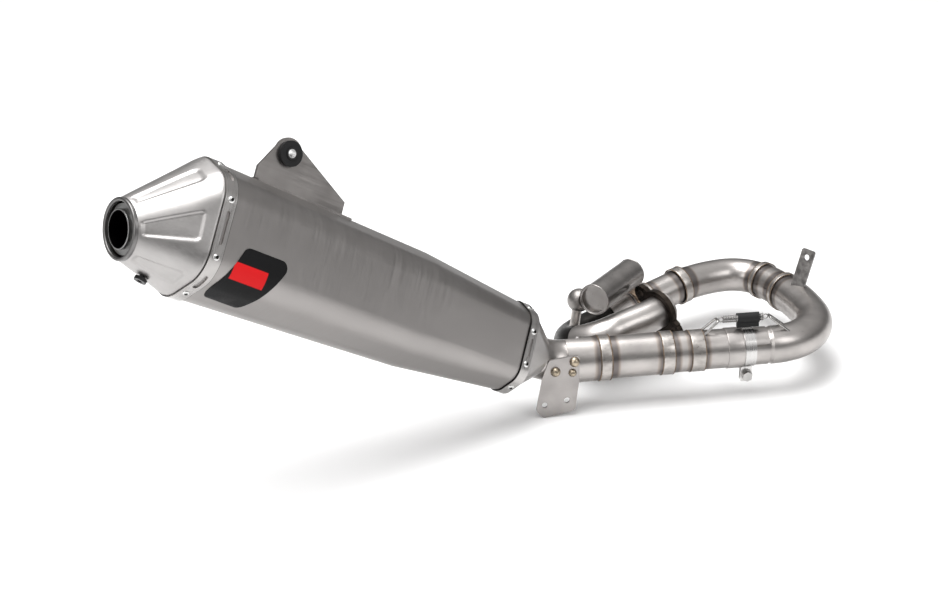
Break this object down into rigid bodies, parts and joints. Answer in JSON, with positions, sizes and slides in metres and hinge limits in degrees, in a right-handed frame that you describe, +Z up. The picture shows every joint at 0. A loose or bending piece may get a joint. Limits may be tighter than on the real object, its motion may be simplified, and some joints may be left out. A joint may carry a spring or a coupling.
{
  "type": "racing exhaust system",
  "caption": "Wrap-round racing exhaust: port collar and loose flange, tight turn, looped header, spring-held slip joint with clamp, link pipe and riveted six-sided silencer.",
  "frame": {"origin": "centre of the port collar's face, where the header meets the cylinder head", "axes": "+X along the link pipe towards the loop, +Z up, +Y away from the silencer's near side"},
  "size_m": [0.7953, 0.4088, 0.3498],
  "materials": {
    "sleeve_metal": "satin",
    "cap_metal": "satin",
    "lip_metal": "satin",
    "band_metal": "satin",
    "rivet_metal": "satin",
    "bracket_metal": "satin",
    "pipe_metal": "satin",
    "weld_metal": "satin",
    "dark_pipe": "satin",
    "canister_metal": "satin",
    "flange_metal": "matte",
    "clamp_metal": "satin",
    "bolt_steel": "satin",
    "black_bolt": "satin",
    "hook_wire": "gloss",
    "spring_wire": "gloss",
    "insert_steel": "satin",
    "bush_metal": "satin",
    "core_steel": "satin",
    "grommet_rubber": "matte",
    "sleeve_rubber": "matte",
    "packing_wool": "matte",
    "badge_plate": "gloss"
  },
  "bodies": {
    "silencer": {"muffler_sleeve": "sleeve_metal", "perforated_core": "core_steel", "packing": "packing_wool", "end_cap": "cap_metal", "nose_lip": "lip_metal", "outlet_insert": "insert_steel", "insert_screw": "black_bolt", "front_cap": "cap_metal", "inlet_tube": "pipe_metal", "rear_band": "band_metal", "front_band": "band_metal", "rear_rivets": "rivet_metal", "front_rivets": "rivet_metal", "hanger_bracket": "bracket_metal", "hanger_foot": "bracket_metal", "hanger_grommet": "grommet_rubber", "hanger_bush": "insert_steel", "badge": "badge_plate", "link_collar": "pipe_metal", "link_weld_ring": "weld_metal", "link_rear_tube": "pipe_metal", "link_ring_rear": "weld_metal", "link_mid_tube": "pipe_metal", "link_ring_front": "weld_metal", "link_front_tube": "pipe_metal", "joint_bell": "pipe_metal", "slip_socket": "pipe_metal", "rear_hook": "hook_wire", "spring": "spring_wire", "spring_sleeve": "sleeve_rubber", "saddle": "pipe_metal", "lower_bracket": "bracket_metal", "weld_blobs": "weld_metal"},
    "slip_bush": {"slip_bush": "bush_metal"},
    "header": {"slip_male": "pipe_metal", "u_bend": "pipe_metal", "step_collar_front": "weld_metal", "step_tube": "pipe_metal", "step_collar_rear": "weld_metal", "loop_arc": "pipe_metal", "loop_weld_ring": "weld_metal", "loop_tube": "pipe_metal", "loop_small_ring": "weld_metal", "loop_bead": "weld_metal", "loop_sleeve": "pipe_metal", "frame_tab": "bracket_metal", "front_hook": "hook_wire"},
    "clamp": {"clamp_band": "clamp_metal", "clamp_nut": "clamp_metal"},
    "clamp_bolt": {"clamp_bolt": "bolt_steel"},
    "port_piece": {"turn_near": "pipe_metal", "turn_far": "dark_pipe", "port_pipe": "pipe_metal", "port_collar": "pipe_metal", "resonator_body": "canister_metal", "resonator_far_cap": "canister_metal", "resonator_disc_cap": "canister_metal", "resonator_bulb": "pipe_metal", "resonator_neck": "weld_metal"},
    "port_flange": {"port_flange": "flange_metal"}
  },
  "joints": [
    {"name": "slip_slide", "type": "slide", "parent": "silencer", "child": "slip_bush", "axis": [1, 0, 0], "range_m": [0, 0.012], "deforming": ["spring"]},
    {"name": "slip_turn", "type": "hinge", "parent": "slip_bush", "child": "header", "pos_m": [0.072, -0.081, -0.014], "axis": [1, 0, 0], "range_deg": [-8, 8]},
    {"name": "clamp_turn", "type": "hinge", "parent": "silencer", "child": "clamp", "pos_m": [0.073, -0.081, -0.014], "axis": [1, 0, 0], "range_deg": [-15, 15]},
    {"name": "clamp_bolt_turn", "type": "hinge", "parent": "clamp", "child": "clamp_bolt", "pos_m": [0.073, -0.081, -0.0455], "axis": [0, -1, 0], "continuous": true},
    {"name": "loop_joint_turn", "type": "hinge", "parent": "header", "child": "port_piece", "pos_m": [-0.03517, 0.0567, -0.02772], "axis": [0.9015, 0.4014, 0.1616], "range_deg": [-4, 4]},
    {"name": "flange_turn", "type": "hinge", "parent": "port_piece", "child": "port_flange", "pos_m": [0, 0, 0], "axis": [0.8576, 0.4951, 0.1392], "continuous": true}
  ]
}
